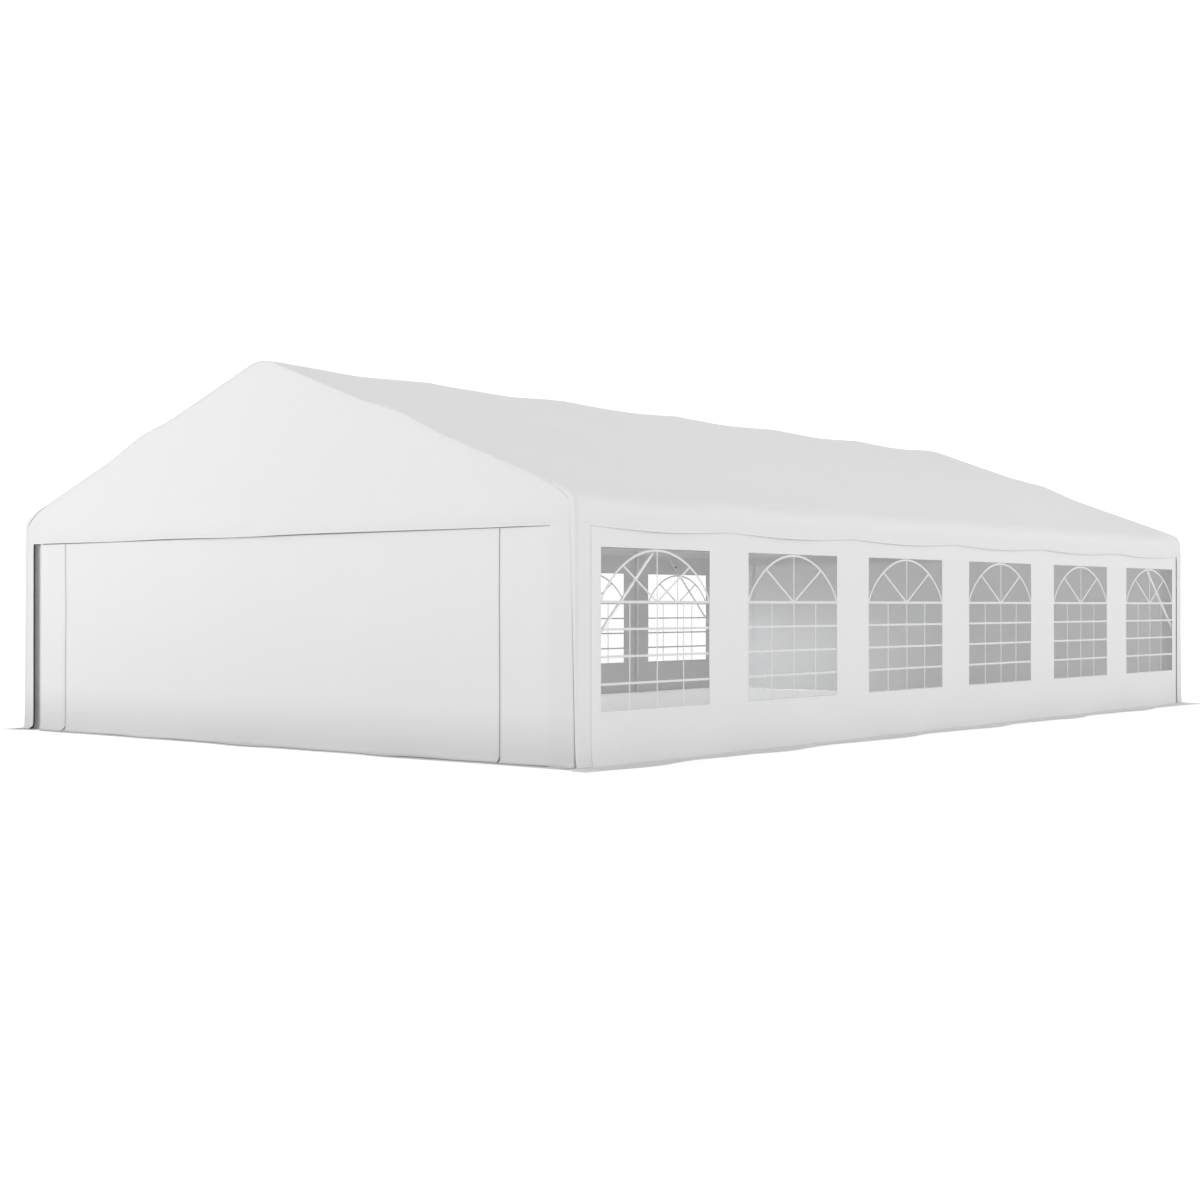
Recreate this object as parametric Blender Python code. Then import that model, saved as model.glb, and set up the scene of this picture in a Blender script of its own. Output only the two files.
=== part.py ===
"""Marquee tent: seven tube portals, five purlins, corner braces, a roof cover, gables, walls and windows.

The frame is +Z up, with the origin on the ground at the middle of the tent. The length runs along Y, the
front gable looks along -Y, and right is +X. All sizes are in metres.
"""

import math

import bmesh
import bpy
import numpy as np
from mathutils import Matrix, Vector

# Driving sizes of the tent
BAY = 2.0
BAYS = 6
HALF_LENGTH = BAY * BAYS / 2
HALF_WIDTH = 3.6
EAVE_HEIGHT = 2.1
RIDGE_HEIGHT = 3.425
HEM_HEIGHT = 1.855

# Cloth, which is modelled thicker than it is, and the gap between touching pieces
CLOTH = 0.006
GAP = 0.0003
SKIN = CLOTH + GAP

# Tubes of the portals and purlins
TUBE = 0.019
TUBE_SIDES = 12
LEG_X = HALF_WIDTH - SKIN - TUBE
LEG_Y = HALF_LENGTH - SKIN - TUBE
EAVE_BEND = 0.115
RIDGE_BEND = 0.425
BEND_STEPS = 4
PITCH = math.atan((RIDGE_HEIGHT - EAVE_HEIGHT) / HALF_WIDTH)
TUBE_DEPTH = TUBE + SKIN
CORNER_Z = EAVE_HEIGHT + (HALF_WIDTH - LEG_X) * math.tan(PITCH) - TUBE_DEPTH / math.cos(PITCH)
PEAK_Z = RIDGE_HEIGHT - TUBE_DEPTH / math.cos(PITCH)

# Between two portals the roof sags, down to the purlins
ROOF_SAG = 0.028
SAG_STEPS = 4

# The middle purlins lie on the rafters, and the roof is tented over them
SEAT_X = 1.71
SEAT_SPREAD = 0.45
SEAT_FLAT = 0.012
SEAT_RISE = 2 * TUBE + GAP

# Sleeves of the portals that the ridge and eave purlins pass through, at the eaves halfway round the bend
SLEEVE = 0.025
SLEEVE_LENGTH = 0.12
EAVE_PURLIN_ANGLE = (math.pi / 2 - PITCH) / 2
PURLIN_HALF_LENGTH = LEG_Y + TUBE

# Foot plates
PLATE_WIDTH = 0.1
PLATE_THICKNESS = 0.006

# Corner braces: a tube that slides out of a wider one
BRACE_LOW = 0.77
BRACE_RUN = 1.37
BRACE_OUTER = 0.0125
BRACE_INNER = 0.010
BRACE_SHARE = 0.82

# Walls that hang inside the valance
WALL_TOP = 1.955
WINDOW_WIDTH = 1.43
WINDOW_BOTTOM = 0.425
WINDOW_TOP = 1.694
FLAP_WIDTH = 0.2
FLAP_OVERHANG = 0.1

# Corner sleeves of cloth over the corner legs, and the panels and doors between them
CORNER_STRIP = 0.16
WIDE_STRIP = 0.27
STRIP_FOOT = 0.025
ZIP_X = 2.85

# The left panels step back behind the corner sleeve, to the inner side of the leg
STEP_START = 3.3
STEP_END = 3.45


def clear_scene():
    """Removes what the file holds at the start."""
    for item in list(bpy.data.objects):
        bpy.data.objects.remove(item)


def make_material(name, colour, roughness, metallic=0.0, alpha=1.0):
    """A Principled material."""
    material = bpy.data.materials.new(name)
    material.use_nodes = True
    shader = material.node_tree.nodes["Principled BSDF"]
    shader.inputs["Base Color"].default_value = (*colour, 1.0)
    shader.inputs["Roughness"].default_value = roughness
    shader.inputs["Metallic"].default_value = metallic
    shader.inputs["Alpha"].default_value = alpha
    return material


def add_object(name, mesh, material=None, place=None):
    """Links an object with this mesh, set down by a matrix."""
    item = bpy.data.objects.new(name, mesh)
    bpy.context.scene.collection.objects.link(item)
    if material is not None and not mesh.materials:
        mesh.materials.append(material)
    if place is not None:
        item.matrix_world = place
    return item


def mesh_of(name, vertices, faces):
    """A mesh of these vertices and faces, with its faces turned outwards."""
    shape = bmesh.new()
    corners = [shape.verts.new(v) for v in vertices]
    for face in faces:
        shape.faces.new([corners[i] for i in face])
    bmesh.ops.recalc_face_normals(shape, faces=shape.faces)
    mesh = bpy.data.meshes.new(name)
    shape.to_mesh(mesh)
    shape.free()
    return mesh


def box_mesh(name, low, high):
    """A block between two corners."""
    low, high = Vector(low), Vector(high)
    size = high - low
    shape = bmesh.new()
    place = Matrix.Translation((low + high) / 2) @ Matrix.Diagonal((*size, 1.0))
    bmesh.ops.create_cube(shape, size=1.0, matrix=place)
    mesh = bpy.data.meshes.new(name)
    shape.to_mesh(mesh)
    shape.free()
    return mesh


def plate_mesh(name, outline, y_low, y_high):
    """An outline of (x, z) points, extruded along Y."""
    count = len(outline)
    vertices = [(x, y, z) for y in (y_low, y_high) for x, z in outline]
    around = [(i, (i + 1) % count) for i in range(count)]
    sides = [(a, b, b + count, a + count) for a, b in around]
    caps = [tuple(range(count)), tuple(range(2 * count - 1, count - 1, -1))]
    return mesh_of(name, vertices, sides + caps)


def column_mesh(name, outline, z_low, z_high):
    """An outline of (x, y) points, extruded upwards."""
    count = len(outline)
    vertices = [(x, y, z) for z in (z_low, z_high) for x, y in outline]
    around = [(i, (i + 1) % count) for i in range(count)]
    sides = [(a, b, b + count, a + count) for a, b in around]
    caps = [tuple(range(count)), tuple(range(count, 2 * count))]
    return mesh_of(name, vertices, sides + caps)


def prism_mesh(name, radius, start, end, turn=0.0):
    """A straight tube of TUBE_SIDES sides from start to end. turn tilts its corners about its own axis."""
    start, end = Vector(start), Vector(end)
    along = (end - start).normalized()
    side = Vector((1.0, 0.0, 0.0)) if abs(along.x) < 0.9 else Vector((0.0, 0.0, 1.0))
    side = (side - along * side.dot(along)).normalized()
    other = along.cross(side)
    angles = [turn + 2 * math.pi * i / TUBE_SIDES for i in range(TUBE_SIDES)]
    ring = [side * (radius * math.cos(a)) + other * (radius * math.sin(a)) for a in angles]
    vertices = [start + v for v in ring] + [end + v for v in ring]
    around = [(i, (i + 1) % TUBE_SIDES) for i in range(TUBE_SIDES)]
    sides = [(a, b, b + TUBE_SIDES, a + TUBE_SIDES) for a, b in around]
    caps = [tuple(range(TUBE_SIDES)), tuple(range(TUBE_SIDES, 2 * TUBE_SIDES))]
    return mesh_of(name, vertices, sides + caps)


def joined(name, meshes):
    """One mesh that holds several, which don't touch each other."""
    shape = bmesh.new()
    for mesh in meshes:
        shape.from_mesh(mesh)
    result = bpy.data.meshes.new(name)
    shape.to_mesh(result)
    shape.free()
    return result


def guide(name, mesh):
    """An object that only cuts or adds to others."""
    item = add_object(name, mesh)
    item.hide_render = True
    item.display_type = "WIRE"
    return item


def combine(item, other, operation):
    """A Boolean modifier on item."""
    modifier = item.modifiers.new(other.name, "BOOLEAN")
    modifier.operation = operation
    modifier.solver = "EXACT"
    modifier.object = other


def half_portal_line(seat=False):
    """The centre line of a portal from the right foot to the ridge, as (x, z).

    A leg, a bend of EAVE_BEND, a rafter and half of the bend of RIDGE_BEND at the ridge. With seat, the
    four points where the roof is tented over a middle purlin are added.
    """
    turn = math.pi / 2 - PITCH
    eave_centre = np.array([LEG_X - EAVE_BEND, CORNER_Z - EAVE_BEND * math.tan(turn / 2)])
    ridge_centre = np.array([0.0, PEAK_Z - RIDGE_BEND / math.cos(PITCH)])
    points = [(LEG_X, PLATE_THICKNESS / 2)]
    for angle in np.linspace(0.0, turn, BEND_STEPS + 1):
        points.append(tuple(eave_centre + EAVE_BEND * np.array([math.cos(angle), math.sin(angle)])))
    if seat:
        for x in (SEAT_X + SEAT_SPREAD, SEAT_X + SEAT_FLAT, SEAT_X - SEAT_FLAT, SEAT_X - SEAT_SPREAD):
            points.append((x, CORNER_Z + (LEG_X - x) * math.tan(PITCH)))
    for angle in np.linspace(turn, math.pi / 2, BEND_STEPS // 2 + 1):
        points.append(tuple(ridge_centre + RIDGE_BEND * np.array([math.cos(angle), math.sin(angle)])))
    return np.array(points)


def both_halves(line):
    """A line from the right foot to the ridge, and on down to the left foot."""
    return np.vstack([line, line[-2::-1] * (-1.0, 1.0)])


def mitres(line):
    """At each point of a line, the outward step that moves the whole line out by 1."""
    steps = np.diff(line, axis=0)
    steps /= np.linalg.norm(steps, axis=1)[:, None]
    normals = np.stack([steps[:, 1], -steps[:, 0]], 1)
    first = np.vstack([normals[:1], normals])
    second = np.vstack([normals, normals[-1:]])
    middle = first + second
    return middle / (1.0 + np.sum(first * second, axis=1))[:, None]


def portal_tube_mesh():
    """The bent tube of a portal, as rings along its centre line, at y 0."""
    line = both_halves(half_portal_line())
    out = mitres(line)
    angles = np.arange(TUBE_SIDES) * (2 * math.pi / TUBE_SIDES)
    vertices = []
    for (x, z), (out_x, out_z) in zip(line, out):
        for angle in angles:
            reach = TUBE * math.cos(angle)
            vertices.append((x + reach * out_x, TUBE * math.sin(angle), z + reach * out_z))
    faces = []
    for ring in range(len(line) - 1):
        for i in range(TUBE_SIDES):
            a = ring * TUBE_SIDES + i
            b = ring * TUBE_SIDES + (i + 1) % TUBE_SIDES
            faces.append((a, b, b + TUBE_SIDES, a + TUBE_SIDES))
    last = (len(line) - 1) * TUBE_SIDES
    faces.append(tuple(range(TUBE_SIDES)))
    faces.append(tuple(range(last, last + TUBE_SIDES)))
    return mesh_of("portal_tube", vertices, faces)


def purlin_places():
    """Where the ridge purlin and the two eave purlins run, as (x, z)."""
    line = half_portal_line()
    ridge_z = line[-1][1] - ROOF_SAG
    turn = math.pi / 2 - PITCH
    centre_z = CORNER_Z - EAVE_BEND * math.tan(turn / 2)
    eave_x = LEG_X - EAVE_BEND + EAVE_BEND * math.cos(EAVE_PURLIN_ANGLE)
    eave_z = centre_z + EAVE_BEND * math.sin(EAVE_PURLIN_ANGLE) - ROOF_SAG
    return [(0.0, ridge_z), (eave_x, eave_z), (-eave_x, eave_z)]


def purlin_mesh(name, x, z, turn=0.0, radius=TUBE, reach=PURLIN_HALF_LENGTH):
    """A tube along the whole tent."""
    return prism_mesh(name, radius, (x, -reach, z), (x, reach, z), turn)


def portal_mesh(name, inward, bores):
    """A portal with its purlin sleeves and foot plates, at y 0.

    An end portal has its sleeves and plates on the inner side only: inward is 1 or -1 there, and 0 on the
    others, where they are centred.
    """
    shift = inward * (SLEEVE_LENGTH / 2 - TUBE)
    plate_shift = inward * (PLATE_WIDTH / 2 - TUBE)
    extras = []
    for x, z in purlin_places():
        low = (x, shift - SLEEVE_LENGTH / 2, z)
        high = (x, shift + SLEEVE_LENGTH / 2, z)
        extras.append(prism_mesh("sleeve", SLEEVE, low, high))
    for side in (-1, 1):
        edges = sorted((side * (LEG_X + TUBE), side * (LEG_X + TUBE - PLATE_WIDTH)))
        low = (edges[0], plate_shift - PLATE_WIDTH / 2, 0.0)
        high = (edges[1], plate_shift + PLATE_WIDTH / 2, PLATE_THICKNESS)
        extras.append(box_mesh("foot_plate", low, high))
    fittings = guide(name + "_fittings", joined("fittings", extras))
    whole = add_object(name + "_whole", portal_tube_mesh())
    combine(whole, fittings, "UNION")
    combine(whole, bores, "DIFFERENCE")
    bpy.context.view_layer.update()
    result = bpy.data.meshes.new_from_object(whole.evaluated_get(bpy.context.evaluated_depsgraph_get()))
    result.name = name
    bpy.data.objects.remove(whole)
    bpy.data.objects.remove(fittings)
    return result


def portal_places():
    """The place of each portal along the tent."""
    inner = [-HALF_LENGTH + BAY * i for i in range(1, BAYS)]
    return [-LEG_Y, *inner, LEG_Y]


def make_portals(material):
    """The seven portals, front to rear."""
    bores = guide("purlin_bores", joined("bores", [
        purlin_mesh("bore", x, z, radius=TUBE + GAP, reach=HALF_LENGTH) for x, z in purlin_places()
    ]))
    meshes = {turn: portal_mesh(f"portal_mesh_{turn + 2}", turn, bores) for turn in (1, 0, -1)}
    places = portal_places()
    for number, y in enumerate(places, 1):
        inward = {1: 1, len(places): -1}.get(number, 0)
        add_object(f"portal_frame_{number}", meshes[inward], material, Matrix.Translation((0.0, y, 0.0)))


def make_purlins(material):
    """The ridge purlin, two eave purlins in the portals' sleeves, and two middle purlins on the rafters."""
    for name, (x, z) in zip(("ridge_purlin", "eave_purlin_right", "eave_purlin_left"), purlin_places()):
        add_object(name, purlin_mesh(name, x, z), material)
    rafter_z = CORNER_Z + (LEG_X - SEAT_X) * math.tan(PITCH)
    x = SEAT_X + SEAT_RISE * math.sin(PITCH)
    z = rafter_z + SEAT_RISE * math.cos(PITCH)
    for name, side in (("middle_purlin_right", 1), ("middle_purlin_left", -1)):
        add_object(name, purlin_mesh(name, side * x, z, side * PITCH), material)


def make_braces(material):
    """Four telescopic braces, each from a corner leg up to the eave purlin, cut to fit both tubes."""
    (_, _), (purlin_x, purlin_z), (_, _) = purlin_places()
    for end_name, end in (("front", -1), ("rear", 1)):
        for side_name, side in (("left", -1), ("right", 1)):
            name = f"brace_{end_name}_{side_name}"
            low = Vector((side * LEG_X, end * LEG_Y, BRACE_LOW))
            high = Vector((side * purlin_x, end * (LEG_Y - BRACE_RUN), purlin_z))
            step = low.lerp(high, BRACE_SHARE)
            inside = low.lerp(high, BRACE_SHARE / 2)
            brace = add_object(name, prism_mesh(name, BRACE_OUTER, low, step), material)
            thin = guide(name + "_slider", prism_mesh(name, BRACE_INNER, inside, high))
            leg_low = (side * LEG_X, end * LEG_Y, 0.0)
            leg_high = (side * LEG_X, end * LEG_Y, EAVE_HEIGHT)
            leg = guide(name + "_leg_cut", prism_mesh(name, TUBE + GAP, leg_low, leg_high))
            purlin = guide(name + "_purlin_cut", purlin_mesh(name, side * purlin_x, purlin_z, radius=TUBE + GAP))
            combine(brace, thin, "UNION")
            combine(brace, leg, "DIFFERENCE")
            combine(brace, purlin, "DIFFERENCE")


def cover_half_line(depth):
    """Half of the roof cover's section at a portal, from the valance's hem to the ridge, as (x, z).

    depth is how far the line lies outside the portal's centre line. Below the eave bend the valance steps
    out over the top of the wall, and over a middle purlin the roof rises by SEAT_RISE.
    """
    line = half_portal_line(seat=True)
    full = both_halves(line)
    moved = (full + depth * mitres(full))[: len(line)]
    first_bend = 1
    seat = first_bend + BEND_STEPS + 1
    normal = np.array([math.sin(PITCH), math.cos(PITCH)])
    moved[seat + 1: seat + 3] += SEAT_RISE * normal
    valance_x = moved[0, 0] + SKIN
    valance = np.array([(valance_x, HEM_HEIGHT), (valance_x, WALL_TOP + GAP + ROOF_SAG)])
    return np.vstack([valance, moved[first_bend:]])


def sag_share(x):
    """The share of ROOF_SAG at a distance x from the middle: whole at the ridge and eaves, none on a purlin."""
    x = np.abs(x)
    return np.where(x < SEAT_X, 1.0 - x / SEAT_X, np.minimum((x - SEAT_X) / (LEG_X - SEAT_X), 1.0))


def cover_stations():
    """Places along the tent where the cover's section is drawn, each with its sag.

    The cover is held level over the portals, and at each end over the whole width of the corner sleeves.
    """
    held = [-HALF_LENGTH + CORNER_STRIP, *portal_places()[1:-1], HALF_LENGTH - CORNER_STRIP]
    stations = [(-HALF_LENGTH - SKIN, 0.0)]
    for start, end in zip(held, held[1:]):
        for share in np.arange(SAG_STEPS) / SAG_STEPS:
            stations.append((start + (end - start) * share, 4 * ROOF_SAG * share * (1 - share)))
    stations += [(held[-1], 0.0), (HALF_LENGTH + SKIN, 0.0)]
    return stations


def make_roof_cover(material):
    """The roof cloth with its valances: one skin, lofted through the sections."""
    inner = both_halves(cover_half_line(TUBE + GAP))
    outer = both_halves(cover_half_line(TUBE + SKIN))
    ring = np.vstack([outer, inner[::-1]])
    count = len(ring)
    half = len(outer)
    vertices = []
    for y, sag in cover_stations():
        vertices += [(x, y, z - sag * float(sag_share(x))) for x, z in ring]
    faces = []
    stations = len(vertices) // count
    for station in range(stations - 1):
        for i in range(count):
            a = station * count + i
            b = station * count + (i + 1) % count
            faces.append((a, b, b + count, a + count))
    for first in (0, (stations - 1) * count):
        for i in range(half - 1):
            faces.append((first + i, first + i + 1, first + count - 2 - i, first + count - 1 - i))
    add_object("roof_cover", mesh_of("roof_cover", vertices, faces), material)


def make_gables(material):
    """The two gable cloths: a plate under the roof's edge, down to the hem."""
    half = cover_half_line(TUBE)
    half[:2, 0] = HALF_WIDTH
    outline = [tuple(point) for point in both_halves(half)]
    for name, end in (("front_gable", -1), ("rear_gable", 1)):
        y_low, y_high = sorted((end * (HALF_LENGTH + GAP), end * (HALF_LENGTH + SKIN)))
        add_object(name, plate_mesh(name, outline, y_low, y_high), material)


def make_corner_sleeves(material):
    """Four cloth sleeves, each an angle round a corner leg, sewn to the cover above.

    On the end face the strip of a right sleeve is the wide one. The rear is the front's mirror image.
    """
    out_x = HALF_WIDTH + SKIN
    out_y = HALF_LENGTH + SKIN
    in_x = HALF_WIDTH + GAP
    in_y = HALF_LENGTH + GAP
    end_y = out_y - CORNER_STRIP
    top = HEM_HEIGHT - GAP
    for end_name, end in (("front", -1), ("rear", 1)):
        for side_name, side, strip in (("left", -1, CORNER_STRIP), ("right", 1, WIDE_STRIP)):
            name = f"corner_sleeve_{end_name}_{side_name}"
            end_x = out_x - strip
            points = [(out_x, out_y), (out_x, end_y), (in_x, end_y), (in_x, in_y), (end_x, in_y), (end_x, out_y)]
            outline = [(side * x, end * y) for x, y in points]
            add_object(name, column_mesh(name, outline, STRIP_FOOT, top), material)


def make_side_walls(wall_material, film_material):
    """The long walls with their window openings, the window films in them, and the flaps on the ground."""
    half_length = HALF_LENGTH - SKIN
    centres = [-HALF_LENGTH + BAY * (i + 0.5) for i in range(BAYS)]
    y_lines = [-half_length]
    for centre in centres:
        y_lines += [centre - WINDOW_WIDTH / 2, centre + WINDOW_WIDTH / 2]
    y_lines.append(half_length)
    z_lines = [0.0, WINDOW_BOTTOM, WINDOW_TOP, WALL_TOP]
    rows = len(z_lines)
    for side_name, side in (("right", 1), ("left", -1)):
        wall_x = side * HALF_WIDTH
        inner_x = side * (HALF_WIDTH - CLOTH)
        name = f"side_wall_{side_name}"
        vertices = [(wall_x, y, z) for y in y_lines for z in z_lines]
        faces = []
        for column in range(len(y_lines) - 1):
            for row in range(rows - 1):
                is_window = column % 2 == 1 and row == 1
                if not is_window:
                    a = column * rows + row
                    corners = (a, a + rows, a + rows + 1, a + 1)
                    faces.append(corners if side > 0 else corners[::-1])
        mesh = bpy.data.meshes.new(name)
        mesh.from_pydata(vertices, [], faces)
        wall = add_object(name, mesh, wall_material)
        thickness = wall.modifiers.new("thickness", "SOLIDIFY")
        thickness.thickness = CLOTH
        thickness.offset = -1.0
        for number, centre in enumerate(centres, 1):
            window = f"window_{side_name}_{number}"
            half_window = WINDOW_WIDTH / 2 - GAP
            low = (min(wall_x, inner_x), centre - half_window, WINDOW_BOTTOM + GAP)
            high = (max(wall_x, inner_x), centre + half_window, WINDOW_TOP - GAP)
            add_object(window, box_mesh(window, low, high), film_material)
        flap = f"ground_flap_{side_name}"
        edges = sorted((side * (HALF_WIDTH + GAP), side * (HALF_WIDTH + FLAP_WIDTH)))
        reach = HALF_LENGTH + FLAP_OVERHANG
        low = (edges[0], -reach, 0.0)
        high = (edges[1], reach, CLOTH)
        add_object(flap, box_mesh(flap, low, high), wall_material)


def make_end_walls(material):
    """At each end a wide door cloth between two zips, and a narrow panel beside it at each corner.

    The right panel runs on to the corner. The left one steps back to the inner side of the corner leg, and
    ends beside the brace, just above the foot plate.
    """
    step_y = LEG_Y - TUBE - GAP
    panel_end = LEG_X - BRACE_OUTER - SKIN
    left_line = [(-ZIP_X, HALF_LENGTH), (-STEP_START, HALF_LENGTH), (-STEP_END, step_y), (-panel_end, step_y)]
    left_outline = left_line + [(x, y - CLOTH) for x, y in reversed(left_line)]
    left_foot = PLATE_THICKNESS + GAP
    for end_name, end in (("front", -1), ("rear", 1)):
        y_low, y_high = sorted((end * HALF_LENGTH, end * (HALF_LENGTH - CLOTH)))
        for part_name, x_low, x_high in (
            ("door", -ZIP_X + GAP, ZIP_X - GAP),
            ("right_panel", ZIP_X, HALF_WIDTH),
        ):
            name = f"{end_name}_{part_name}"
            add_object(name, box_mesh(name, (x_low, y_low, 0.0), (x_high, y_high, WALL_TOP)), material)
        name = f"{end_name}_left_panel"
        outline = [(x, end * y) for x, y in left_outline]
        add_object(name, column_mesh(name, outline, left_foot, WALL_TOP), material)


def build():
    """Makes the whole tent."""
    clear_scene()
    tube = make_material("galvanised_tube", (0.62, 0.63, 0.64), 0.38, metallic=0.8)
    cover = make_material("cover_cloth", (0.83, 0.83, 0.84), 0.55)
    wall = make_material("wall_cloth", (0.85, 0.85, 0.86), 0.6)
    film = make_material("window_film", (0.9, 0.91, 0.92), 0.12, alpha=0.35)
    make_portals(tube)
    make_purlins(tube)
    make_braces(tube)
    make_roof_cover(cover)
    make_gables(cover)
    make_corner_sleeves(cover)
    make_side_walls(wall, film)
    make_end_walls(wall)


build()
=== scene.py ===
"""Looks of the marquee tent: its galvanised frame, roof cloth, gables, walls, windows and ground flaps.

Everything is in metres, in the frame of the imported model: +Z up, the length along Y, the front gable
looking along -Y, and right is +X. The origin is on the ground at the middle of the tent.
"""

import math

import bpy
import numpy as np
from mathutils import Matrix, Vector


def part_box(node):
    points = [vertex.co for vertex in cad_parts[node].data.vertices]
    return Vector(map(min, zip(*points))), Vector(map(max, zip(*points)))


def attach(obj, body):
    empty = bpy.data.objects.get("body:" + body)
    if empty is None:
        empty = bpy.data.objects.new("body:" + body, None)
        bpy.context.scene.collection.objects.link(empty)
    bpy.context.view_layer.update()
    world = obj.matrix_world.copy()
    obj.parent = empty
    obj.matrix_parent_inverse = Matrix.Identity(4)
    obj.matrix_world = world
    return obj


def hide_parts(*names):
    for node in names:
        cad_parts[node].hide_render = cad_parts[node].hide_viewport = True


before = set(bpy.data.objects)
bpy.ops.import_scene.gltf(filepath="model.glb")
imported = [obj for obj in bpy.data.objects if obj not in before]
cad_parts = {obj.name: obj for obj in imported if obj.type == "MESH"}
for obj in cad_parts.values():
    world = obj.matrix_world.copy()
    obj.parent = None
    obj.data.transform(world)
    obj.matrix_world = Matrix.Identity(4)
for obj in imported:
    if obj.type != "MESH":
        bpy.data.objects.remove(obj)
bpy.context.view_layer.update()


# The camera, where the photographer stood: right of the front gable, at the height of a chest.
# Its turn puts the near corner a little left of the picture's middle.
CAMERA_PLACE = (12.305, -16.491, 1.244)
CAMERA_TURN = 0.680
CAMERA_RISE = 0.003
CAMERA_LENS = 54.25


def put(name, data):
    """A new object in the scene."""
    made = bpy.data.objects.new(name, data)
    bpy.context.scene.collection.objects.link(made)
    return made


camera = put("camera", bpy.data.cameras.new("camera"))
camera.data.lens = CAMERA_LENS
camera.data.clip_end = 400.0
camera.location = CAMERA_PLACE
camera.rotation_euler = (math.pi / 2 + CAMERA_RISE, 0.0, CAMERA_TURN)
bpy.context.scene.camera = camera


# The seven portals: round galvanised steel tube, bent at the eaves and at the ridge. Each has a sleeve for
# the ridge and eave purlins, a collar with two bolts at each joint, and foot plates with two ground pegs.
HALF_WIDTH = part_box("side_wall_right")[1].x
EAVE_HEIGHT = 2.1
RIDGE_HEIGHT = 3.425
PITCH = math.atan((RIDGE_HEIGHT - EAVE_HEIGHT) / HALF_WIDTH)
BAY = 2.0
BAYS = 6
END_Y = BAY * BAYS / 2
TUBE = 0.019
SKIN = 0.0063
LEG_X = HALF_WIDTH - SKIN - TUBE
LEG_Y = END_Y - SKIN - TUBE
TUBE_DEPTH = TUBE + SKIN
EAVE_BEND = 0.115
RIDGE_BEND = 0.425
EAVE_TURN = math.pi / 2 - PITCH
CORNER_Z = EAVE_HEIGHT + (HALF_WIDTH - LEG_X) * math.tan(PITCH) - TUBE_DEPTH / math.cos(PITCH)
PEAK_Z = RIDGE_HEIGHT - TUBE_DEPTH / math.cos(PITCH)
EAVE_CENTRE = np.array([LEG_X - EAVE_BEND, CORNER_Z - EAVE_BEND * math.tan(EAVE_TURN / 2)])
RIDGE_CENTRE = np.array([0.0, PEAK_Z - RIDGE_BEND / math.cos(PITCH)])
INNER_PLACES = tuple(BAY * number - END_Y for number in range(1, BAYS))
PORTAL_PLACES = (-LEG_Y, *INNER_PLACES, LEG_Y)
SLEEVE = 0.025
SLEEVE_LENGTH = 0.12
PLATE_WIDTH = 0.1
PLATE_THICKNESS = 0.006
PLATE = np.array([PLATE_WIDTH, PLATE_WIDTH, PLATE_THICKNESS])
PEG = 0.006
PEG_HEIGHT = 0.035
PEG_CAP = 0.008
PEG_HEAD = 0.0132
PEG_OUT = 0.033
PEG_IN = 0.018
BOLT_HEAD = 0.0075
BOLT_HEIGHT = 0.0066
WASHER = 0.010875
WASHER_HEIGHT = 0.0015
COLLAR = 0.0215
COLLAR_LENGTH = 0.11
COLLAR_BOLT = 0.033
LEG_COLLAR = 1.72
RAFTER_COLLARS = (EAVE_CENTRE[0] - 0.16, 0.42)
TURN = 2 * math.pi
STEEL_DARK = (0.76, 0.765, 0.77, 1.0)
STEEL_LIGHT = (0.90, 0.905, 0.91, 1.0)


def set_inputs(node, inputs):
    """Sets inputs of a node: an expression is linked, and a plain value is set."""
    for key, value in inputs.items():
        if isinstance(value, Shade):
            node.id_data.links.new(value.socket, node.inputs[key])
        else:
            node.inputs[key].default_value = value


class Shade:
    """A socket of a material's nodes. Sums, differences and products of it add Math nodes."""

    def __init__(self, tree, socket=None):
        self.tree = tree
        self.socket = socket

    def node(self, kind, inputs=None, output=0, **settings):
        """Adds a node of a kind: its settings first, then the values or links of its inputs."""
        made = self.tree.nodes.new("ShaderNode" + kind)
        for key, value in settings.items():
            setattr(made, key, value)
        set_inputs(made, inputs or {})
        return Shade(self.tree, made.outputs[output])

    def place(self, kind="Object"):
        """Where a point lies: on the object, or on the flat cloth for kind UV."""
        return self.node("TexCoord", output=kind)

    def axis(self, name):
        """One coordinate of a place."""
        return self.node("SeparateXYZ", {0: self}, name)

    def stretched(self, *factors):
        """A place with its coordinates multiplied by three factors."""
        return self.node("VectorMath", {0: self, 1: factors}, operation="MULTIPLY")

    def noise(self, scale, detail=2.0):
        """Fractal noise from 0 to 1 at a place."""
        return self.node("TexNoise", {"Vector": self, "Scale": scale, "Detail": detail}, "Fac")

    def rise(self, low, high):
        """0 below low, 1 above high, and a smooth step between them."""
        inputs = {0: self, 1: low, 2: high, 3: 0.0, 4: 1.0}
        return self.node("MapRange", inputs, interpolation_type="SMOOTHSTEP")

    def blended(self, first, second):
        """A colour between two, by a share from 0 to 1."""
        return self.node("Mix", {0: self, 6: first, 7: second}, 2, data_type="RGBA")

    def bumped(self, depth, strength):
        """A normal from a height of 0 to 1 that stands for depth metres."""
        return self.node("Bump", {"Height": self, "Distance": depth, "Strength": strength})

    def maths(self, operation, other=0.0):
        """A Math node on this value, and on another where it takes two."""
        return self.node("Math", {0: self, 1: other}, operation=operation)

    def __add__(self, other):
        return self.maths("ADD", other)

    def __sub__(self, other):
        return self.maths("SUBTRACT", other)

    def __rsub__(self, other):
        return self.node("Math", {0: other, 1: self}, operation="SUBTRACT")

    def __mul__(self, other):
        return self.maths("MULTIPLY", other)

    __radd__ = __add__
    __rmul__ = __mul__


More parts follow.
